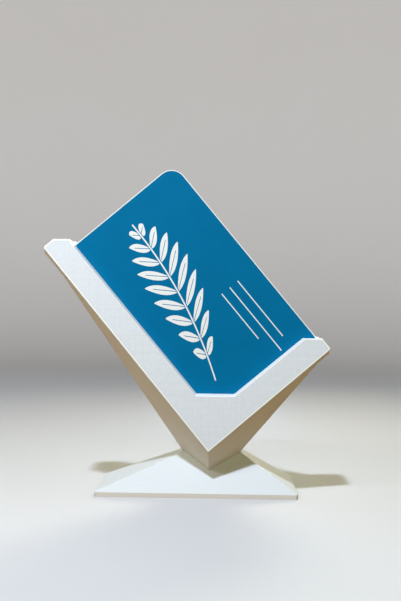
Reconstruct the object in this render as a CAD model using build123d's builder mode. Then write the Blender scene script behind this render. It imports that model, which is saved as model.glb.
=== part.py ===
from build123d import *

import os
from math import cos, radians, sin, tan

# A printed stand that holds a small deck of cards on the slant, with a corner down.
# X runs to the right seen from the front, Y to the back and Z up.
# The origin is the middle of the foot's underside. Lengths are millimetres, angles degrees.

# Cards: a full-bleed card with rounded corners, and the deck behind it
card_length = 90.0
card_width = 55.0
card_thickness = 0.4
card_corner_radius = 6.0
card_gap = 0.05
deck_count = 11

# Pocket: a V of two floors that meet square, between a front rail and a back wall
tray_tilt = 40.0
short_rail_length = 59.8
long_rail_length = 98.7
rail_width = 9.7
short_floor = 2.1
long_floor = 3.4
pocket_depth = 13.0
back_wall = 4.0

# Rails: ends cut square and then level, a level brace across the inner corner, inner edges that slope back
# and outer sides that flare out behind the face
front_rail_thickness = 3.0
rail_flare = 1.15
bevel_width = 0.62
bevel_depth = 2.6
end_square = 5.0
end_nip = 0.45
brace_length = 14.3

# Column: facets that run from the pocket's outer edges to one point inside the foot
facet_share = 0.975
corner_x = 4.6
corner_height = 19.05
keel_drop = 1.1
tip_height = 0.6

# Foot: a plate with an upright rim, raised to an off-centre peak inside the column
foot_width = 77.6
foot_depth = 40.0
foot_rim = 1.8
foot_corner_radius = 0.8
peak_x = 8.6
peak_rise = 2.4

# Joint between column and foot
back_setting = 2.3
seat_height = 5.0
glue_gap = 0.12

tilt = radians(tray_tilt)
along_short = Vector(cos(tilt), 0, sin(tilt))
along_long = Vector(-sin(tilt), 0, cos(tilt))
towards_front = Vector(0, -1, 0)

# Planes of the pocket from back to front
back_y = -back_setting
wall_front_y = back_y - back_wall
rail_back_y = wall_front_y - pocket_depth
front_y = rail_back_y - front_rail_thickness

# Points that the facets share, on the back plane, and the way from it to the front
corner = Vector(corner_x, back_y, corner_height)
keel = corner - Vector(0, 0, keel_drop)
long_end = corner + along_long * (long_rail_length - end_nip)
short_end = corner + along_short * (short_rail_length - end_nip)
tip = Vector(corner_x, back_y, tip_height)
long_aim = corner + along_long * long_rail_length * facet_share
short_aim = corner + along_short * short_rail_length * facet_share
long_kink = tip + (long_aim - tip) * (1 - rail_flare / (corner - tip).dot(along_short))
short_kink = tip + (short_aim - tip) * (1 - rail_flare / (corner - tip).dot(along_long))
peak = Vector(peak_x, back_y, corner_height + peak_rise)
to_front = Vector(0, front_y - back_y, 0)


def tray_plane(y):
    """Upright plane at y that follows the rails: x along the short one, y along the long one."""
    return Plane(origin=(corner_x, y, corner_height), x_dir=along_short, z_dir=towards_front)


def in_tray(point):
    """Place of a point in the rails' own directions."""
    reach = point - corner
    return (reach.dot(along_short), reach.dot(along_long))


def facet(first, second, third):
    """Plane through three points, facing the side from which they run anticlockwise."""
    along = second - first
    return Plane(origin=first, x_dir=along, z_dir=along.cross(third - first))


def wall_outline():
    """Corners of the L-shaped wall, from its outer corner round by the short rail."""
    level_end = rail_width - end_square
    return (
        (0, 0),
        (short_rail_length - end_nip, 0),
        (short_rail_length, end_nip),
        (short_rail_length, end_square),
        (short_rail_length - level_end / tan(tilt), rail_width),
        (rail_width + brace_length * cos(tilt), rail_width),
        (rail_width, rail_width + brace_length * sin(tilt)),
        (rail_width, long_rail_length - level_end * tan(tilt)),
        (end_square, long_rail_length),
        (end_nip, long_rail_length),
        (0, long_rail_length - end_nip),
    )


def faceted_block(rear_y, fore_y, gap):
    """The V of pocket floors with the column below it, between two upright planes.

    The facets run from the V's outer edges at the front to the tip on the back plane.
    Above the kinks in their outline they end at the flare.
    A gap lowers the facets and moves them apart, for the socket that takes the column.
    """
    drop = Vector(0, 0, -gap)
    back_shift = Vector(0, gap, 0) + drop
    front_shift = to_front - Vector(0, gap, 0) + drop
    with BuildPart() as block:
        with BuildSketch(tray_plane(rear_y)):
            with BuildLine():
                Polyline(
                    in_tray(tip + drop),
                    in_tray(short_kink + drop),
                    (short_rail_length - end_nip - rail_flare, -rail_flare),
                    (short_rail_length, end_nip),
                    (short_rail_length, short_floor),
                    (long_floor, short_floor),
                    (long_floor, long_rail_length),
                    (end_nip, long_rail_length),
                    (-rail_flare, long_rail_length - end_nip - rail_flare),
                    in_tray(long_kink + drop),
                    close=True,
                )
            make_face()
        extrude(amount=rear_y - fore_y)
        left_facet = facet(long_end + front_shift, tip + back_shift, keel + front_shift)
        right_facet = facet(keel + front_shift, tip + back_shift, short_end + front_shift)
        split(bisect_by=left_facet, keep=Keep.BOTTOM)
        split(bisect_by=right_facet, keep=Keep.BOTTOM)
        split(bisect_by=Plane.XY.offset(seat_height), keep=Keep.TOP)
    return block.part


def card_at(place):
    """A card in the pocket, counted from the one against the front rail."""
    face_y = rail_back_y + card_gap + place * (card_thickness + card_gap)
    with BuildPart() as card:
        with BuildSketch(tray_plane(face_y + card_thickness)):
            with Locations((long_floor + card_gap, short_floor + card_gap)):
                RectangleRounded(
                    card_width,
                    card_length,
                    card_corner_radius,
                    align=(Align.MIN, Align.MIN),
                )
        extrude(amount=card_thickness)
    return card.part


os.makedirs("parts", exist_ok=True)
body_block = faceted_block(back_y, rail_back_y, 0)
rail_block = faceted_block(rail_back_y, front_y, 0)
socket = faceted_block(back_y + glue_gap, front_y - glue_gap, glue_gap)

# Foot: the block is sliced along its four facets, then the socket is taken out
half_width = foot_width / 2
half_depth = foot_depth / 2
rim_corners = [
    Vector(-half_width, -half_depth, foot_rim),
    Vector(half_width, -half_depth, foot_rim),
    Vector(half_width, half_depth, foot_rim),
    Vector(-half_width, half_depth, foot_rim),
]
with BuildPart() as foot:
    with BuildSketch():
        RectangleRounded(foot_width, foot_depth, foot_corner_radius)
    extrude(amount=peak.Z)
    for start, end in zip(rim_corners, rim_corners[1:] + rim_corners[:1]):
        split(bisect_by=facet(start, end, peak), keep=Keep.BOTTOM)
    add(socket, mode=Mode.SUBTRACT)
foot.part.label = "foot"
export_step(foot.part, "parts/foot.step")

# Pocket body: the floors and column, with the L-shaped wall behind the cards
with BuildPart() as pocket_body:
    add(body_block)
    with BuildSketch(tray_plane(back_y)):
        with BuildLine():
            Polyline(*wall_outline(), close=True)
        make_face()
    extrude(amount=back_wall)
pocket_body.part.label = "pocket_body"
export_step(pocket_body.part, "parts/pocket_body.step")

# Front rail: the same L with inner edges that slope back, and the facets' front strip below it
with BuildPart() as front_rail:
    with BuildSketch(tray_plane(rail_back_y)):
        with BuildLine():
            Polyline(*wall_outline(), close=True)
        make_face()
    extrude(amount=front_rail_thickness)
    rail_face = front_rail.faces().sort_by(Axis.Y)[0]
    inner_edges = [edge for edge in rail_face.edges() if min(in_tray(edge.center())) > rail_width - bevel_width]
    chamfer(inner_edges, length=bevel_width, length2=bevel_depth, reference=rail_face)
    add(rail_block)
front_rail.part.label = "front_rail"
export_step(front_rail.part, "parts/front_rail.step")

# Cards: the one that shows, then the deck behind it
front_card = card_at(0)
front_card.label = "front_card"
export_step(front_card, "parts/front_card.step")
for number in range(1, deck_count + 1):
    deck_card = card_at(number)
    deck_card.label = f"deck_card_{number:02d}"
    export_step(deck_card, f"parts/{deck_card.label}.step")
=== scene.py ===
"""Looks of a printed card stand: three printed pieces, a deck of printed cards and a studio."""

import logging
from collections.abc import Callable, Mapping
from dataclasses import dataclass
from enum import Enum
from math import cos, pi, radians, sin, sqrt

import bmesh
import bpy
from mathutils import Matrix, Vector


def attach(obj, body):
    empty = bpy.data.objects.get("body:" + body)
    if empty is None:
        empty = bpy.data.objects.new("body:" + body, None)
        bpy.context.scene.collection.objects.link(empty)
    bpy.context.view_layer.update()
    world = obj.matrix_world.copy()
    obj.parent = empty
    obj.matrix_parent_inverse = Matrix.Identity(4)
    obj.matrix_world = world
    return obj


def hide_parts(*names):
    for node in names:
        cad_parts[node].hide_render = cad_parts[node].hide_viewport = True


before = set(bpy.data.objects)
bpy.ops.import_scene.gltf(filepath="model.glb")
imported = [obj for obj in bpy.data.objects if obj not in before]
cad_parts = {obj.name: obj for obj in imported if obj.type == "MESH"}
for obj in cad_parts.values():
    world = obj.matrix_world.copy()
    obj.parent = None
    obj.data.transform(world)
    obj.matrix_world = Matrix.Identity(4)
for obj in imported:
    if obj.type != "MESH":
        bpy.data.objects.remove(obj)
log = logging.getLogger("card_stand")

MM = 0.001

Rgb = tuple[float, float, float]
BLACK: Rgb = (0.0, 0.0, 0.0)


def seen(red: int, green: int, blue: int) -> Rgb:
    """Turn a colour as it looks on a screen into a linear one.

    Args:
        red: Red from 0 to 255.
        green: Green from 0 to 255.
        blue: Blue from 0 to 255.

    Returns:
        The linear colour that a shader takes.
    """
    shares = [level / 255 for level in (red, green, blue)]
    lines = [s / 12.92 if s <= 0.04045 else ((s + 0.055) / 1.055) ** 2.4 for s in shares]
    return (lines[0], lines[1], lines[2])


class Skin(Enum):
    """The mark that printing leaves on a face."""

    LAYERS = "layers"
    RASTER = "raster"
    BED = "bed"
    # Rounded edges, whose layer lines carry painted light.
    EDGE = "edge"


class Growth(Enum):
    """The direction in which a piece was printed, layer on layer."""

    TO_FRONT = "Y"
    UPWARDS = "Z"


class Zone(Enum):
    """The zones of a printed piece, in the order of its material slots."""

    SLOPES = 0
    TOP = 1
    BED = 2
    EDGE = 3
    TRIM = 4


class Field:
    """A value that changes over a surface, with maths written as Python."""

    def __init__(self, graph: "Graph", socket: bpy.types.NodeSocket) -> None:
        """Wrap one output socket of a graph."""
        self.graph = graph
        self.socket = socket

    def __add__(self, other: "Field | float") -> "Field":
        """Sum of two values."""
        return self.graph.math("ADD", self, other)

    __radd__ = __add__

    def __sub__(self, other: "Field | float") -> "Field":
        """This value less another."""
        return self.graph.math("SUBTRACT", self, other)

    def __rsub__(self, other: float) -> "Field":
        """A number less this value."""
        return self.graph.math("SUBTRACT", other, self)

    def __mul__(self, other: "Field | float") -> "Field":
        """Product of two values."""
        return self.graph.math("MULTIPLY", self, other)

    __rmul__ = __mul__

    def __truediv__(self, other: "Field | float") -> "Field":
        """This value over another."""
        return self.graph.math("DIVIDE", self, other)

    def __rtruediv__(self, other: float) -> "Field":
        """A number over this value."""
        return self.graph.math("DIVIDE", other, self)

    def __pow__(self, power: "Field | float") -> "Field":
        """This value to a power."""
        return self.graph.math("POWER", self, power)

    def __abs__(self) -> "Field":
        """Size of this value without its sign."""
        return self.graph.math("ABSOLUTE", self)

    def __and__(self, other: "Field | float") -> "Field":
        """The lower of two values, which for masks is where both hold."""
        return self.graph.math("MINIMUM", self, other)

    def __or__(self, other: "Field | float") -> "Field":
        """The higher of two values, which for masks is where either holds."""
        return self.graph.math("MAXIMUM", self, other)

    def whole(self) -> "Field":
        """The whole number at or under this value."""
        return self.graph.math("FLOOR", self)

    def part(self) -> "Field":
        """What this value has over its whole number."""
        return self.graph.math("FRACT", self)

    def sine(self) -> "Field":
        """Sine of this value in radians."""
        return self.graph.math("SINE", self)

    def above(self, limit: "Field | float", soft: float) -> "Field":
        """Mask of where this value is over a limit.

        Args:
            limit: The value at which the mask is half.
            soft: How far from the limit the mask is full.

        Returns:
            A field from 0 to 1.
        """
        steps = {"Value": self - limit, "From Min": -soft, "From Max": soft}
        return self.graph.node("ShaderNodeMapRange", {"interpolation_type": "SMOOTHSTEP"}, steps)

    def below(self, limit: "Field | float", soft: float) -> "Field":
        """Mask of where this value is under a limit, as above() gives it."""
        return 1 - self.above(limit, soft)

    def within(self, low: float, high: float, soft: float) -> "Field":
        """Mask of where this value lies between two limits, as above() gives it."""
        return self.above(low, soft) & self.below(high, soft)

    def bead(self) -> "Field":
        """Rounded ridge of one unit's width, repeated along this value."""
        across = self.part() * 2 - 1
        return 1 - across * across


class Graph:
    """Node tree of one material, with the places of a Mix node's colour sockets."""

    mix_share: int = 0
    mix_first: int = 6
    mix_second: int = 7
    mix_result: int = 2

    def __init__(self, name: str) -> None:
        """Make a material with a bare shader."""
        self.material = bpy.data.materials.new(name)
        self.material.use_nodes = True
        self.tree = self.material.node_tree
        self.tree.nodes.clear()
        self.shader = self.tree.nodes.new("ShaderNodeBsdfPrincipled")
        output = self.tree.nodes.new("ShaderNodeOutputMaterial")
        self.tree.links.new(self.shader.outputs[0], output.inputs["Surface"])

    def feed(self, socket: bpy.types.NodeSocket, value: object) -> None:
        """Link a field to a socket or set the socket to a number or colour.

        Args:
            socket: The input socket.
            value: A field, a number, or a colour or vector of three numbers.
        """
        if isinstance(value, Field):
            self.tree.links.new(value.socket, socket)
        elif socket.type == "RGBA":
            socket.default_value = (*value, 1.0)
        else:
            socket.default_value = value

    def node(
        self,
        kind: str,
        settings: Mapping[str, object],
        sockets: Mapping[str | int, object],
        out: str | int = 0,
    ) -> Field:
        """Add a node.

        Args:
            kind: The node's type.
            settings: Its settings, which are set first.
            sockets: Values or links of its input sockets.
            out: The output socket that is wanted.

        Returns:
            The field of that output.
        """
        made = self.tree.nodes.new(kind)
        for name, setting in settings.items():
            setattr(made, name, setting)
        for name, value in sockets.items():
            self.feed(made.inputs[name], value)
        return Field(self, made.outputs[out])

    def math(self, operation: str, *values: "Field | float") -> Field:
        """Add a Math node for one operation."""
        return self.node("ShaderNodeMath", {"operation": operation}, dict(enumerate(values)))

    def mix(self, share: "Field | float", first: object, second: object) -> Field:
        """Mix two colours.

        Args:
            share: How much of the second colour there is.
            first: A colour or a colour's field.
            second: A colour or a colour's field.

        Returns:
            The mixed colour's field.
        """
        sockets = {self.mix_share: share, self.mix_first: first, self.mix_second: second}
        return self.node("ShaderNodeMix", {"data_type": "RGBA"}, sockets, self.mix_result)

    def place(self) -> Field:
        """Place in the frame, in metres."""
        return self.node("ShaderNodeTexCoord", {}, {}, "Object")

    def axes(self, vector: Field) -> tuple[Field, Field, Field]:
        """Split a vector into its three values."""
        split = self.node("ShaderNodeSeparateXYZ", {}, {0: vector}).socket.node
        x, y, z = (Field(self, socket) for socket in split.outputs)
        return (x, y, z)

    def grain(self, size: float, detail: float = 2.0) -> Field:
        """Cloudy noise.

        Args:
            size: Size of its clouds in metres.
            detail: How many finer octaves it holds.

        Returns:
            A field about 0.5.
        """
        sockets = {"Vector": self.place(), "Scale": 1 / size, "Detail": detail}
        return self.node("ShaderNodeTexNoise", {}, sockets)

    def streaks(self, along: Field, size: float) -> Field:
        """Noise that changes only along one value.

        Args:
            along: The value it changes along, in metres.
            size: Size of its streaks in metres.

        Returns:
            A field about 0.5.
        """
        sockets = {"W": along / size, "Scale": 1.0, "Detail": 1.0}
        return self.node("ShaderNodeTexNoise", {"noise_dimensions": "1D"}, sockets)

    def relief(self, height: Field, depth: float) -> Field:
        """Bump from a height field.

        Args:
            height: Heights from 0 to 1.
            depth: Depth of that range in metres.

        Returns:
            The normal's field.
        """
        return self.node("ShaderNodeBump", {}, {"Height": height, "Strength": 1.0, "Distance": depth})

    def dress(self, **sockets: object) -> bpy.types.Material:
        """Set the shader's sockets, named with _ for spaces, and give the material."""
        for name, value in sockets.items():
            self.feed(self.shader.inputs[name.replace("_", " ")], value)
        return self.material


@dataclass(frozen=True)
class Tray:
    """The slant of the pocket and the outline of its rails."""

    tilt: float = radians(40)
    corner_x: float = 4.6 * MM
    corner_z: float = 19.05 * MM
    short_rail: float = 59.8 * MM
    long_rail: float = 98.7 * MM
    keel_drop: float = 1.1 * MM
    end_square: float = 5.0 * MM
    middle: float = 45 * MM

    def along(self, graph: Graph) -> tuple[Field, Field]:
        """Place along the short and the long rail, from the outer corner."""
        x, _, z = graph.axes(graph.place())
        across = x - self.corner_x
        up = z - self.corner_z
        short = across * cos(self.tilt) + up * sin(self.tilt)
        long = up * cos(self.tilt) - across * sin(self.tilt)
        return (short, long)

    def from_edge(self, graph: Graph) -> Field:
        """Distance from the nearest outer edge or end of the rail's face, in metres."""
        short, long = self.along(graph)
        left = short + (1 - long / self.long_rail) * (self.keel_drop * sin(self.tilt))
        right = long + (1 - short / self.short_rail) * (self.keel_drop * cos(self.tilt))
        height = short * sin(self.tilt) + long * cos(self.tilt)
        left_top = self.long_rail * cos(self.tilt) + self.end_square * sin(self.tilt)
        right_top = self.short_rail * sin(self.tilt) + self.end_square * cos(self.tilt)
        far_left = (self.long_rail - long) & ((left_top - height) | (self.middle - long))
        far_right = (self.short_rail - short) & ((right_top - height) | (self.middle - short))
        return left & right & far_left & far_right


@dataclass(frozen=True)
class Mark:
    """How deep the lines of a print are, and how much painted shade darkens their grooves."""

    depth: float
    groove_shade: float


MARKS: Mapping[Skin, Mark] = {
    Skin.LAYERS: Mark(depth=0.03 * MM, groove_shade=0.20),
    Skin.RASTER: Mark(depth=0.022 * MM, groove_shade=0.42),
    Skin.BED: Mark(depth=0.006 * MM, groove_shade=0.25),
    Skin.EDGE: Mark(depth=0.008 * MM, groove_shade=0.20),
}


@dataclass(frozen=True)
class Streak:
    """A noise on a print: its size, its strength and the level at which it changes nothing."""

    size: float
    strength: float
    even: float = 0.5

    def shade(self, noise: Field) -> Field:
        """What the noise adds, which is below 0 where the noise is under its even level."""
        return self.strength * (noise - self.even)


@dataclass(frozen=True)
class PrintedPlastic:
    """White printed plastic with the marks of its printing, and painted light and shade on its lines and
    edges.
    """

    name: str
    skin: Skin
    growth: Growth = Growth.TO_FRONT
    tone: Rgb = (0.735, 0.760, 0.780)
    # The darker colour that painted shade in grooves and furrows, and random mottle and specks, mix
    # towards.
    hollow: Rgb = (0.538, 0.558, 0.575)
    # Colour of painted highlights on rounded edges and on the rail face's outer band, and of painted shade
    # on the inner slope.
    painted_light: Rgb = (0.890, 0.905, 0.910)
    painted_light_share: float = 0.8
    rough: float = 0.50
    groove_rough: float = 0.06
    specular: float = 0.45
    ridge_height: float = 0.8
    speck: Streak = Streak(0.35 * MM, 0.16)
    speck_detail: float = 3.0
    speck_tone: float = 0.10
    speck_height: float = 0.35
    layer: float = 0.25 * MM
    layer_bands: Streak = Streak(0.9 * MM, 0.5, 0.35)
    each_layer: Streak = Streak(0.13 * MM, 0.25)
    line: float = 0.78 * MM
    loops: int = 2
    loop_soft: float = 0.02 * MM
    across: Streak = Streak(1.1 * MM, 0.2, 0.42)
    upright: Streak = Streak(1.6 * MM, 0.2, 0.42)
    blots: Streak = Streak(1.3 * MM, 0.45, 0.45)
    # Width of the rail face's outer band with its painted highlight, and of the furrow beside it with its
    # painted shade.
    band: float = 0.85 * MM
    band_soft: float = 0.06 * MM
    band_share: float = 0.75
    furrow: float = 0.10 * MM
    furrow_soft: float = 0.05 * MM
    furrow_share: float = 0.9
    pressed_lines: Streak = Streak(2.0 * MM, 0.4, 0.4)

    def make(self, tray: Tray) -> bpy.types.Material:
        """Make the finish.

        Args:
            tray: The rails' slant and outline, which the face's lines follow.

        Returns:
            The material.
        """
        graph = Graph(self.name)
        if self.skin is Skin.RASTER:
            ridges, colour = self.rastered(graph, tray)
        elif self.skin is Skin.BED:
            ridges, colour = self.pressed(graph)
        else:
            ridges, colour = self.layered(graph)
        # Rounded edges take painted light: a painted highlight on most, painted shade on the inner slope.
        if self.skin is Skin.EDGE:
            colour = graph.mix(self.painted_light_share, colour, self.painted_light)
        speck = graph.grain(self.speck.size, self.speck_detail)
        height = ridges * self.ridge_height + speck * self.speck_height
        return graph.dress(
            Base_Color=graph.mix(self.speck_tone * speck, colour, self.hollow),
            Roughness=self.rough + self.speck.shade(speck) + self.groove_rough * (1 - ridges),
            Normal=graph.relief(height, MARKS[self.skin].depth),
            Specular_IOR_Level=self.specular,
        )

    def layered(self, graph: Graph) -> tuple[Field, Field]:
        """Layer lines across a slope, each layer a tone of its own, with painted shade in the grooves
        between them.

        Args:
            graph: The material's graph.

        Returns:
            Heights of the lines and their colour.
        """
        _, depth, height = graph.axes(graph.place())
        climb = depth if self.growth is Growth.TO_FRONT else height
        layers = climb / self.layer
        ridges = layers.bead()
        bands = self.layer_bands.shade(graph.streaks(climb, self.layer_bands.size))
        each = self.each_layer.shade(graph.streaks(layers.whole() * self.layer, self.each_layer.size))
        # Painted shade in the grooves between layers, plus a random tone per band and per layer.
        shade = MARKS[self.skin].groove_shade * (1 - ridges) + bands + each
        return (ridges, graph.mix(shade, self.tone, self.hollow))

    def rastered(self, graph: Graph, tray: Tray) -> tuple[Field, Field]:
        """Crossed raster lines inside a few loops that follow the rail's edges, with painted shade in
        their grooves, a painted highlight on the face's outer band and painted shade in a furrow beside
        that band.

        Args:
            graph: The material's graph.
            tray: The rails' slant and outline.

        Returns:
            Heights of the lines and their colour.
        """
        x, _, z = graph.axes(graph.place())
        inset = tray.from_edge(graph)
        loop = inset.below(self.loops * self.line, self.loop_soft)
        fill = ((x / self.line).bead() + (z / self.line).bead()) / 2
        ridges = (inset / self.line).bead() * loop + fill * (1 - loop)
        across = self.across.shade(graph.streaks(x, self.across.size))
        upright = self.upright.shade(graph.streaks(z, self.upright.size))
        blots = self.blots.shade(graph.grain(self.blots.size))
        # Painted shade in the raster grooves, plus random streaks and blots.
        shade = MARKS[self.skin].groove_shade * (1 - ridges) + across + upright + blots
        plain = graph.mix(shade, self.tone, self.hollow)
        # Painted highlight on the outer band, where the rounded perimeter lines catch light.
        rim_highlight = inset.below(self.band, self.band_soft) * (self.band_share + (1 - self.band_share) * ridges)
        # Painted shade in the furrow beside that band.
        furrow = abs(inset - self.band).below(self.furrow, self.furrow_soft) * self.furrow_share
        return (ridges, graph.mix(furrow, graph.mix(rim_highlight, plain, self.painted_light), self.hollow))

    def pressed(self, graph: Graph) -> tuple[Field, Field]:
        """Flat first layer with its slanting lines pressed together, with painted shade in the grooves
        between them.

        Args:
            graph: The material's graph.

        Returns:
            Heights of the lines and their colour.
        """
        x, y, z = graph.axes(graph.place())
        slant = x + y + z
        ridges = (slant / (self.line * sqrt(2))).bead()
        lines = self.pressed_lines.shade(graph.streaks(slant, self.pressed_lines.size))
        # Painted shade in the grooves between the pressed lines, plus random streaks.
        shade = MARKS[self.skin].groove_shade * (1 - ridges) + lines
        return (ridges, graph.mix(shade, self.tone, self.hollow))


@dataclass(frozen=True)
class CardPrint:
    """What is printed on a card, laid out in millimetres from its lower left corner when it lies level."""

    line: float = 0.4
    crisp: float = 0.04
    blunt: float = 0.05
    frame_inset: float = 3.6
    frame_corner: float = 2.6
    stem_start: float = 10.0
    stem_end: float = 74.0
    stem_low: float = 15.0
    stem_rise: float = 13.0
    stem_half: float = 0.28
    stem_lead: float = 2.0
    leaf_pitch: float = 6.4
    leaf_count: int = 9
    leaf_first: float = 0.6
    leaf_length: float = 10.5
    leaf_width: float = 2.1
    leaf_least: float = 0.02
    leaf_taper: float = 0.7
    leaf_round: float = 0.8
    leaf_sweep: float = 0.85
    leaf_gap: float = 0.55
    rib_half: float = 0.16
    rib_share: float = 0.75
    rib_fade: float = 0.3
    rule_start: float = 50.0
    rules: tuple[tuple[float, float], ...] = ((45.5, 27.0), (41.6, 31.0), (37.7, 22.0))

    def sprig(self, x: Field, y: Field) -> Field:
        """A leafy sprig on a bent stem.

        Args:
            x: Place along the card in millimetres.
            y: Place up the card in millimetres.

        Returns:
            The mask of its ink.
        """
        run = (x - self.stem_start) / (self.stem_end - self.stem_start)
        bend = run * run * self.stem_rise
        away = abs(y - self.stem_low - self.stem_rise + bend)
        swept = x + away * self.leaf_sweep - self.stem_start
        number = (swept / self.leaf_pitch).whole()
        middle = abs(swept - (number + 0.5) * self.leaf_pitch)
        size = ((number + self.leaf_first) * (pi / (self.leaf_count + self.leaf_first))).sine()
        reach = (size | self.leaf_least) ** self.leaf_taper * self.leaf_length
        swell = (((away / reach) & 1) * pi).sine()
        leaf = middle.below((swell | 0) ** self.leaf_round * self.leaf_width, self.crisp)
        listed = number.within(-0.5, self.leaf_count - 0.5, self.crisp) & away.below(reach, self.crisp)
        rib = middle.above(self.rib_half, self.crisp) | away.above(reach * self.rib_share, self.rib_fade)
        free = away.above(self.leaf_gap, self.blunt)
        span = x.within(self.stem_start - self.stem_lead, self.stem_end, self.blunt)
        stem = away.below(self.stem_half, self.crisp) & span
        return (leaf & listed & rib & free) | stem

    def ruled(self, x: Field, y: Field) -> Field:
        """Mask of the blank lines to write on."""
        mask = None
        for level, length in self.rules:
            stroke = abs(y - level).below(self.line / 2, self.crisp)
            rule = stroke & x.within(self.rule_start, self.rule_start + length, self.blunt)
            mask = rule if mask is None else mask | rule
        return mask


@dataclass(frozen=True)
class CardStock:
    """Laminated card: a full colour face, a plain back and a white core."""

    name: str
    tray: Tray
    layout: CardPrint
    ink: Rgb = seen(2, 112, 160)
    deep: Rgb = seen(1, 98, 144)
    paper: Rgb = (0.83, 0.845, 0.86)
    core: Rgb = (0.76, 0.77, 0.78)
    length: float = 90.0
    width: float = 55.0
    corner: float = 6.0
    from_short_rail: float = 2.15
    from_long_rail: float = 3.45
    cut_line: float = 0.34
    turned: float = 0.5
    turn_soft: float = 0.2
    tooth: float = 0.12 * MM
    tooth_detail: float = 3.0
    tooth_depth: float = 0.004 * MM
    cloud: float = 9 * MM
    deep_clouds: float = 0.6
    deep_tooth: float = 0.25
    core_tooth: float = 0.5
    rough: float = 0.46
    rough_tooth: float = 0.14
    rough_uncoated: float = 0.22
    specular: float = 0.03

    def from_cut(self, x: Field, y: Field, inset: float, corner: float) -> Field:
        """Distance inside a rounded outline that follows the card's edge.

        Args:
            x: Place along the card in millimetres.
            y: Place up the card in millimetres.
            inset: How far the outline lies inside the edge.
            corner: Radius of its corners.

        Returns:
            The distance in millimetres, below 0 outside.
        """
        past_x = abs(x - self.length / 2) - (self.length / 2 - inset - corner)
        past_y = abs(y - self.width / 2) - (self.width / 2 - inset - corner)
        out_x = past_x | 0
        out_y = past_y | 0
        round_off = (out_x * out_x + out_y * out_y) ** 0.5
        return corner - round_off - ((past_x | past_y) & 0)

    def make(self) -> bpy.types.Material:
        """Make the finish.

        Returns:
            The material.
        """
        graph = Graph(self.name)
        short, long = self.tray.along(graph)
        x = self.from_short_rail + self.length - long / MM
        y = short / MM - self.from_long_rail
        normal = graph.node("ShaderNodeTexCoord", {}, {}, "Normal")
        _, facing, _ = graph.axes(normal)
        face = facing.below(-self.turned, self.turn_soft)
        back = facing.above(self.turned, self.turn_soft)
        cut = self.from_cut(x, y, 0.0, self.corner).below(self.cut_line, self.layout.blunt)
        inset = self.from_cut(x, y, self.layout.frame_inset, self.layout.frame_corner)
        border = abs(inset).below(self.layout.line / 2, self.layout.crisp)
        drawn = self.layout.sprig(x, y) | self.layout.ruled(x, y)
        tooth = graph.grain(self.tooth, self.tooth_detail)
        cloud = graph.grain(self.cloud)
        ink = graph.mix(self.deep_clouds * cloud + self.deep_tooth * tooth, self.ink, self.deep)
        stock = graph.mix(self.core_tooth * tooth, self.paper, self.core)
        front = graph.mix(cut | drawn, ink, stock)
        rear = graph.mix(border, stock, self.ink)
        sides = graph.mix(tooth, self.core, self.paper)
        return graph.dress(
            Base_Color=graph.mix(back, graph.mix(face, sides, front), rear),
            Roughness=self.rough + self.rough_tooth * tooth + self.rough_uncoated * (1 - face),
            Normal=graph.relief(tooth, self.tooth_depth),
            Specular_IOR_Level=self.specular,
        )


@dataclass(frozen=True)
class PaleCove:
    """Pale matt floor and wall, with a warm bounce on the stand and an even glow far from it."""

    name: str
    pale: Rgb = (0.605, 0.575, 0.570)
    bounce: Rgb = (0.24, 0.115, 0.015)
    cloud: float = 0.11
    cloud_share: float = 0.06
    glow: Rgb = (0.27, 0.265, 0.255)
    glow_from: float = 0.95
    glow_soft: float = 0.45
    glow_climb: float = 0.3
    rough: float = 0.75
    rough_cloud: float = 0.1
    specular: float = 0.2

    def make(self) -> bpy.types.Material:
        """Make the finish.

        Returns:
            The material.
        """
        graph = Graph(self.name)
        camera = graph.node("ShaderNodeLightPath", {}, {}, "Is Camera Ray")
        glossy = graph.node("ShaderNodeLightPath", {}, {}, "Is Glossy Ray")
        through = graph.node("ShaderNodeLightPath", {}, {}, "Is Transmission Ray")
        in_view = camera | glossy | through
        cloud = graph.grain(self.cloud)
        pale = graph.mix(self.cloud_share * cloud, self.pale, self.bounce)
        x, y, height = graph.axes(graph.place())
        away = (x * x + y * y) ** 0.5 + self.glow_climb * height
        wall = in_view * away.above(self.glow_from, self.glow_soft)
        return graph.dress(
            Base_Color=graph.mix(in_view, self.bounce, pale),
            Roughness=self.rough + self.rough_cloud * cloud,
            Specular_IOR_Level=self.specular,
            Emission_Color=graph.mix(wall, BLACK, self.glow),
            Emission_Strength=1.0,
        )


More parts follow.
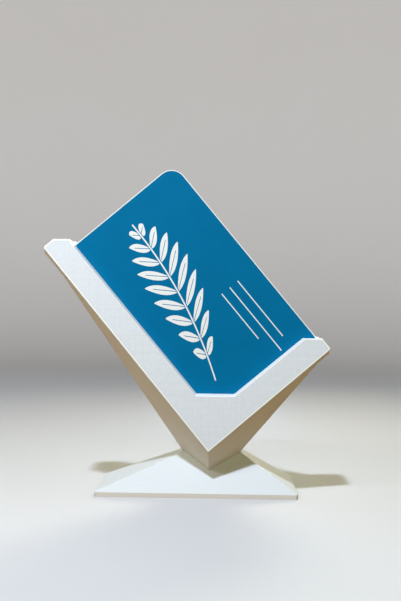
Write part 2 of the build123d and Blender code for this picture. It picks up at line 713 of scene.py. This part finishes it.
@dataclass
class Stand:
    """The three printed pieces, with edges as soft as printing leaves them."""

    tray: Tray
    edge: float = 0.15 * MM
    seam_edge: float = 0.05 * MM
    edge_steps: int = 2
    seam_y: float = -19.3 * MM
    seam_slack: float = 0.005 * MM
    weld: float = 0.002 * MM
    flat: float = radians(0.5)
    sharp: float = radians(12)
    hollow_depth: float = 0.02 * MM
    level: float = 0.97
    lean: tuple[float, float] = (0.1, 0.6)
    # Copies of one white plastic, their tones set zone by zone as painted light and shade.
    plastics_lit_and_shaded: tuple[PrintedPlastic, ...] = (
        # Body slopes: warm tone, painted warm bounce in their shade.
        PrintedPlastic(
            "plastic_layers_to_front",
            Skin.LAYERS,
            tone=(0.832, 0.816, 0.764),
            hollow=(0.634, 0.624, 0.593),
        ),
        # Body and rail edges: painted highlight.
        PrintedPlastic("plastic_edge_to_front", Skin.EDGE),
        # Rail face: cooler tone, painted cool light.
        PrintedPlastic(
            "plastic_rail_face",
            Skin.RASTER,
            tone=(0.755, 0.786, 0.850),
            hollow=(0.547, 0.586, 0.640),
        ),
        # Inner slope: dimmer and warmer, painted shade on a slope that faces the key.
        PrintedPlastic("plastic_inner_slope", Skin.EDGE, painted_light=(0.745, 0.705, 0.655)),
        # Foot slopes: darker tone, painted shade against the full key light on them.
        PrintedPlastic("plastic_layers_upwards", Skin.LAYERS, Growth.UPWARDS, tone=(0.630, 0.630, 0.620)),
        # Foot edges: painted highlight.
        PrintedPlastic("plastic_edge_upwards", Skin.EDGE, Growth.UPWARDS, painted_light=(0.790, 0.790, 0.775)),
        # Foot rim: warm tone, painted warm bounce.
        PrintedPlastic(
            "plastic_foot_rim",
            Skin.LAYERS,
            Growth.UPWARDS,
            tone=(0.74, 0.69, 0.64),
            hollow=(0.59, 0.55, 0.51),
        ),
        PrintedPlastic("plastic_bed_side", Skin.BED, rough=0.36),
    )

    def plastic(self, name: str) -> bpy.types.Material:
        """Give one of the plastic's finishes by name, each with the painted light and shade of its zone,
        and make it when it is first asked for.
        """
        if name in bpy.data.materials:
            return bpy.data.materials[name]
        return next(plastic for plastic in self.plastics_lit_and_shaded if plastic.name == name).make(self.tray)

    def soften(self, node: str, keep: Callable[[bmesh.types.BMEdge], bool]) -> bpy.types.Object:
        """Make a piece that stands for a CAD node, with its sharp edges rounded.

        Args:
            node: The CAD node's name.
            keep: Says of a sharp edge whether it stays as it is.

        Returns:
            The new piece, in the node's place.
        """
        mesh = bmesh.new()
        mesh.from_mesh(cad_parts[node].data)
        bmesh.ops.remove_doubles(mesh, verts=mesh.verts, dist=self.weld)
        bmesh.ops.dissolve_limit(mesh, angle_limit=self.flat, verts=mesh.verts, edges=mesh.edges)
        mesh.normal_update()
        edges = [e for e in mesh.edges if e.calc_face_angle(0.0) > self.sharp]
        rounded = [e for e in edges if not keep(e)]
        self.round_off(mesh, rounded, self.edge)
        seams = [e for e in mesh.edges if self.on_seam(e) and e.calc_face_angle(0.0) > self.sharp]
        self.round_off(mesh, seams, self.seam_edge)
        mesh.normal_update()
        data = bpy.data.meshes.new(f"{node}_softened")
        mesh.to_mesh(data)
        mesh.free()
        piece = bpy.data.objects.new(f"{node}_softened", data)
        bpy.context.scene.collection.objects.link(piece)
        return piece

    def round_off(self, mesh: bmesh.types.BMesh, edges: list[bmesh.types.BMEdge], radius: float) -> None:
        """Round edges of a mesh.

        Args:
            mesh: The mesh.
            edges: The edges to round.
            radius: How far from the edge the round begins.
        """
        if edges:
            bmesh.ops.bevel(
                mesh,
                geom=edges,
                offset=radius,
                segments=self.edge_steps,
                profile=0.5,
                affect="EDGES",
                material=Zone.EDGE.value,
                clamp_overlap=True,
            )

    def on_seam(self, edge: bmesh.types.BMEdge) -> bool:
        """Say whether an edge lies on the plane where the front rail is glued on."""
        return all(abs(v.co.y - self.seam_y) < self.seam_slack for v in edge.verts)

    def in_socket(self, edge: bmesh.types.BMEdge) -> bool:
        """Say whether an edge of the foot bounds a wall of its socket."""
        corners = {v for f in edge.link_faces for v in f.verts}
        near = {f for v in corners for f in v.link_faces}
        return any(self.faces_inward(f, near) for f in edge.link_faces)

    def faces_inward(self, face: bmesh.types.BMFace, others: set[bmesh.types.BMFace]) -> bool:
        """Say whether a face has others in front of its plane, as a hollow's wall does."""
        centre = face.calc_center_median()
        ahead = [face.normal.dot(v.co - centre) for f in others for v in f.verts]
        return max(ahead) > self.hollow_depth

    def finish(
        self, piece: bpy.types.Object, finishes: Mapping[Zone, bpy.types.Material], growth: Growth
    ) -> None:
        """Give each face of a piece the finish of its zone, with that zone's painted light and shade.

        Args:
            piece: The piece.
            finishes: The finish of each of its zones.
            growth: The direction in which it was printed.
        """
        for zone in Zone:
            piece.data.materials.append(finishes[zone])
        for face in piece.data.polygons:
            if face.material_index != Zone.EDGE.value:
                face.material_index = self.zone(face.normal, growth).value

    def zone(self, normal: Vector, growth: Growth) -> Zone:
        """Say which zone of its piece a face belongs to, by the way that it faces.

        Args:
            normal: The face's normal.
            growth: The direction in which the piece was printed.

        Returns:
            The zone, which is never that of the rounded edges.
        """
        if growth is Growth.TO_FRONT:
            out = -normal.y
            trim = self.lean[0] < out < self.lean[1] and normal.z > 0
        else:
            out = normal.z
            trim = abs(out) < self.lean[0]
        if out > self.level:
            return Zone.TOP
        if out < -self.level:
            return Zone.BED
        return Zone.TRIM if trim else Zone.SLOPES

    def build(self) -> list[bpy.types.Object]:
        """Build the three pieces and set them in the frame.

        Returns:
            The pieces.
        """
        foot = {
            Zone.BED: "plastic_bed_side",
            Zone.EDGE: "plastic_edge_upwards",
            Zone.TRIM: "plastic_foot_rim",
        }
        body = {
            Zone.BED: "plastic_bed_side",
            Zone.EDGE: "plastic_edge_to_front",
        }
        rail = {
            Zone.TOP: "plastic_rail_face",
            Zone.EDGE: "plastic_edge_to_front",
            Zone.TRIM: "plastic_inner_slope",
        }
        plans = (
            ("foot", self.in_socket, "plastic_layers_upwards", foot, Growth.UPWARDS),
            ("pocket_body", self.on_seam, "plastic_layers_to_front", body, Growth.TO_FRONT),
            ("front_rail", self.on_seam, "plastic_layers_to_front", rail, Growth.TO_FRONT),
        )
        made = []
        for node, keep, plain, others, growth in plans:
            piece = self.soften(node, keep)
            finishes = {zone: self.plastic(others.get(zone, plain)) for zone in Zone}
            self.finish(piece, finishes, growth)
            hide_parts(node)
            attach(piece, "stand")
            made.append(piece)
            log.info("%s: %d faces", piece.name, len(piece.data.polygons))
        return made


@dataclass
class Deck:
    """The cards in the pocket, each with the same print."""

    tray: Tray
    layout: CardPrint

    def dress(self) -> list[bpy.types.Object]:
        """Give every card its finish.

        Returns:
            The cards.
        """
        stock = CardStock("laminated_card", self.tray, self.layout).make()
        cards = [piece for name, piece in sorted(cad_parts.items()) if "card" in name]
        for card in cards:
            card.data.materials.clear()
            card.data.materials.append(stock)
            log.info("%s: dressed", card.name)
        return cards


@dataclass(frozen=True)
class Lamp:
    """A round soft lamp, hung to shine on the stand."""

    name: str
    place: tuple[float, float, float]
    size: float
    power: float
    colour: Rgb
    spread: float = pi
    aim: tuple[float, float, float] = (0.0, -0.012, 0.05)

    def hang(self) -> bpy.types.Object:
        """Hang the lamp.

        Returns:
            The lamp's object.
        """
        data = bpy.data.lights.new(self.name, "AREA")
        data.shape = "DISK"
        data.size = self.size
        data.spread = self.spread
        data.energy = self.power
        data.color = self.colour
        lamp = bpy.data.objects.new(self.name, data)
        lamp.location = self.place
        lamp.visible_camera = False
        lamp.rotation_mode = "QUATERNION"
        lamp.rotation_quaternion = (Vector(self.aim) - lamp.location).to_track_quat("-Z", "Y")
        bpy.context.scene.collection.objects.link(lamp)
        return lamp


@dataclass
class Studio:
    """Pale cove, lamps and the camera at the photograph's angle."""

    flat: float = 0.75
    sweep: float = 0.5
    top: float = 0.95
    around: int = 96
    along_sweep: int = 12
    key: Lamp = Lamp("key", (-0.19, -0.70, 1.17), 0.08, 19.3, (0.675, 0.802, 1.0))
    front: Lamp = Lamp("front", (-0.02, -0.49, 0.23), 0.25, 0.52, (0.82, 0.99, 0.66))
    left: Lamp = Lamp(
        "left", (-0.13, -0.16, 0.20), 0.06, 0.178, (0.93, 0.955, 1.0), aim=(-0.05, -0.02, 0.10)
    )
    back: Lamp = Lamp("back", (0.14, 0.62, 0.40), 0.30, 0.38, (1.0, 0.98, 0.70), radians(60))
    rear: Lamp = Lamp("rear", (0.02, 0.62, 0.03), 0.05, 0.043, (0.40, 0.65, 1.0), radians(28))
    sky: Rgb = (1.0, 0.96, 0.52)
    sky_strength: float = 0.20
    camera_place: tuple[float, float, float] = (9.16 * MM, -394.42 * MM, 76.26 * MM)
    yaw: float = radians(-1.252)
    pitch: float = radians(0.164)
    roll: float = radians(0.671)
    focal_pixels: float = 986.0
    picture_height: int = 601
    sensor: float = 36.0
    nearest: float = 10 * MM

    def cove(self) -> bpy.types.Object:
        """Build the floor and the wall that it sweeps up into.

        Returns:
            The cove.
        """
        turn = [0.5 * pi * step / self.along_sweep for step in range(self.along_sweep + 1)]
        profile = [(self.flat + self.sweep * sin(a), self.sweep * (1 - cos(a))) for a in turn]
        profile.append((self.flat + self.sweep, self.top))
        mesh = bmesh.new()
        rings = []
        for radius, height in profile:
            angles = [2 * pi * step / self.around for step in range(self.around)]
            rings.append([mesh.verts.new((radius * cos(a), radius * sin(a), height)) for a in angles])
        mesh.faces.new(rings[0])
        for inner, outer in zip(rings, rings[1:]):
            for step in range(self.around):
                after = (step + 1) % self.around
                mesh.faces.new((inner[step], outer[step], outer[after], inner[after]))
        for face in mesh.faces:
            face.smooth = True
        data = bpy.data.meshes.new("cove")
        mesh.to_mesh(data)
        mesh.free()
        cove = bpy.data.objects.new("cove", data)
        bpy.context.scene.collection.objects.link(cove)
        data.materials.append(PaleCove("pale_cove").make())
        return cove

    def lamps(self) -> None:
        """Hang the lamps and set the even light round them."""
        for lamp in (self.key, self.front, self.left, self.back, self.rear):
            lamp.hang()
        world = bpy.data.worlds.new("even_light")
        world.use_nodes = True
        background = world.node_tree.nodes["Background"]
        background.inputs["Color"].default_value = (*self.sky, 1.0)
        background.inputs["Strength"].default_value = self.sky_strength
        bpy.context.scene.world = world

    def camera(self) -> bpy.types.Object:
        """Set the camera where the photograph was taken from.

        Returns:
            The camera.
        """
        level = Vector((cos(self.yaw), -sin(self.yaw), 0))
        ahead = Vector((sin(self.yaw), cos(self.yaw), 0))
        upright = Vector((0, 0, 1))
        sight = ahead * cos(self.pitch) - upright * sin(self.pitch)
        top = upright * cos(self.pitch) + ahead * sin(self.pitch)
        right = level * cos(self.roll) + top * sin(self.roll)
        up = top * cos(self.roll) - level * sin(self.roll)
        data = bpy.data.cameras.new("photo_camera")
        data.sensor_fit = "AUTO"
        data.sensor_width = self.sensor
        data.lens = self.focal_pixels * self.sensor / self.picture_height
        data.clip_start = self.nearest
        camera = bpy.data.objects.new("photo_camera", data)
        turned = Matrix((right, up, -sight)).transposed()
        camera.matrix_world = Matrix.Translation(self.camera_place) @ turned.to_4x4()
        bpy.context.scene.collection.objects.link(camera)
        bpy.context.scene.camera = camera
        return camera

    def build(self) -> None:
        """Build the whole studio."""
        self.camera()
        self.cove()
        self.lamps()
        bpy.context.scene.view_settings.view_transform = "Standard"


def main() -> None:
    """Build the studio, the stand and the deck."""
    logging.basicConfig(level=logging.INFO)
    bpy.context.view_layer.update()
    tray = Tray()
    Studio().build()
    Stand(tray).build()
    Deck(tray, CardPrint()).dress()


if __name__ == "__main__":
    main()
